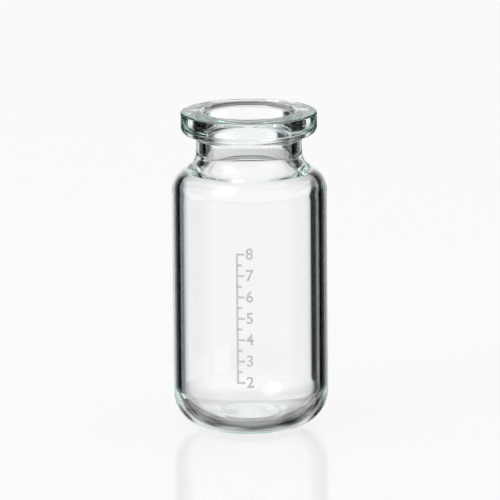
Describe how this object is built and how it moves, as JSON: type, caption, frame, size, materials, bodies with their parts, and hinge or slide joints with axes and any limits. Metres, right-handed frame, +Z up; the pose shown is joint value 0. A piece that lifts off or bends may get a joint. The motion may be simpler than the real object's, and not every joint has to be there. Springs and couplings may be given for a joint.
{
  "type": "glass sample vial",
  "caption": "Clear glass vial with a rounded heel, pushed-up base, blended shoulder, short neck and crimp flange round an open mouth.",
  "frame": {"origin": "centre of the standing ring, on the surface that the vial stands on", "axes": "+Z up along the vial's axis, out of the mouth; X and Y are radial, and the printed fill scale faces -Y"},
  "size_m": [0.0226, 0.0226, 0.0465],
  "materials": {
    "glass": "clear fire-polished tubing glass, with a faint green tint where it is looked through lengthwise",
    "scale_ink": "thin fired enamel, pale grey, satin"
  },
  "bodies": {
    "root": {"vial": "glass"}
  },
  "joints": []
}
